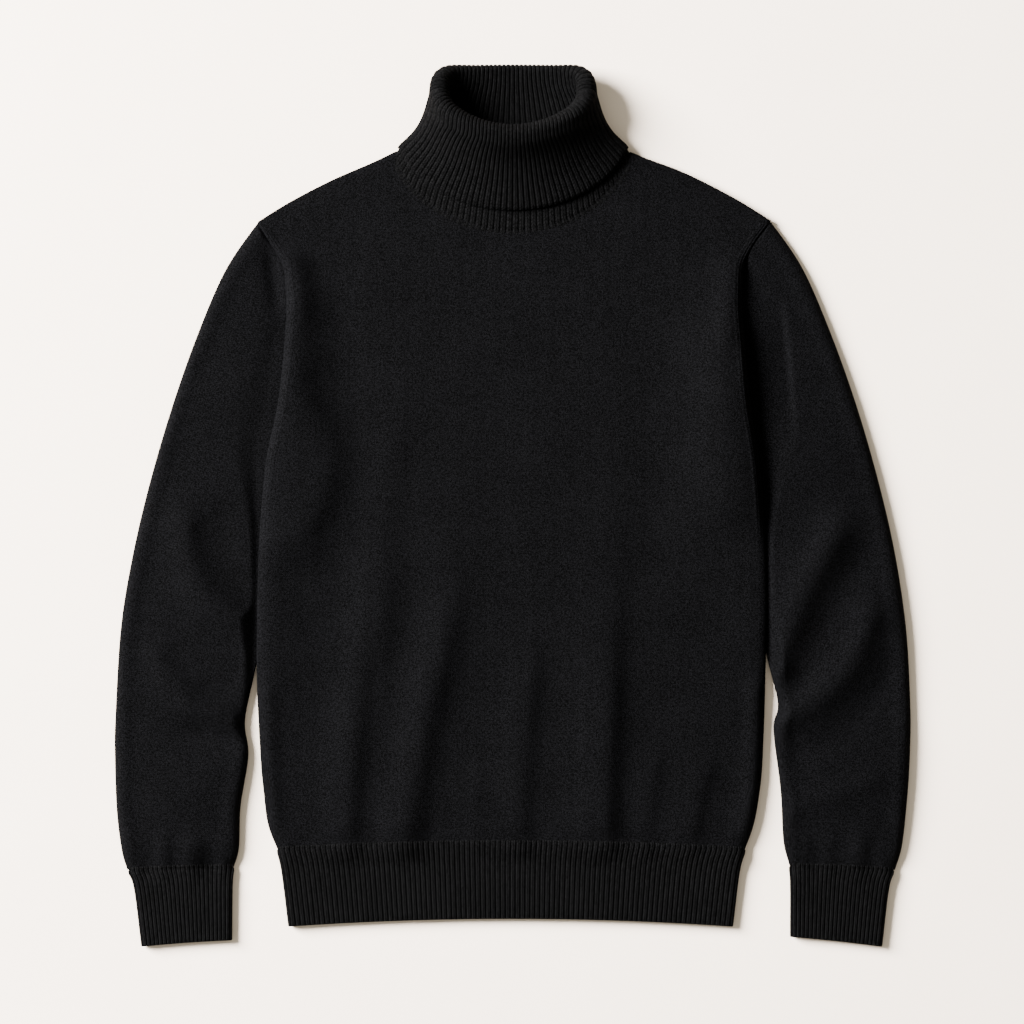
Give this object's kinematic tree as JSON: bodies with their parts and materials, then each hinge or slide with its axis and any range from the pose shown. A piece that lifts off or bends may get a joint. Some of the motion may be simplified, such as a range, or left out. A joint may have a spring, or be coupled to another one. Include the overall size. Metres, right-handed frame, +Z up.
{
  "type": "turtleneck sweater",
  "caption": "Long-sleeved turtleneck sweater laid flat, with a ribbed fold-down collar, ribbed cuffs and a ribbed hem band.",
  "frame": {"origin": "middle of the garment's outline as it lies, on the surface it lies on", "axes": "+Y from the hem to the collar, +X towards the sleeve on the right as seen from above, +Z up from the surface through the back and then the front of the garment"},
  "size_m": [0.7155, 0.792, 0.0478],
  "materials": {
    "front": "fine black wool knit, matt, with a slight nap",
    "back": "fine black wool knit, matt, with a slight nap",
    "sleeve_left": "fine black wool knit, matt, with a slight nap",
    "sleeve_right": "fine black wool knit, matt, with a slight nap",
    "cuff_left": "black wool rib, matt, raised ridges",
    "cuff_right": "black wool rib, matt, raised ridges",
    "hem": "black wool rib, matt, raised ridges",
    "collar": "black wool rib, matt, raised ridges"
  },
  "bodies": {
    "root": {"front": "front", "back": "back", "sleeve_left": "sleeve_left", "sleeve_right": "sleeve_right", "cuff_left": "cuff_left", "cuff_right": "cuff_right", "hem": "hem", "collar": "collar"}
  },
  "joints": []
}
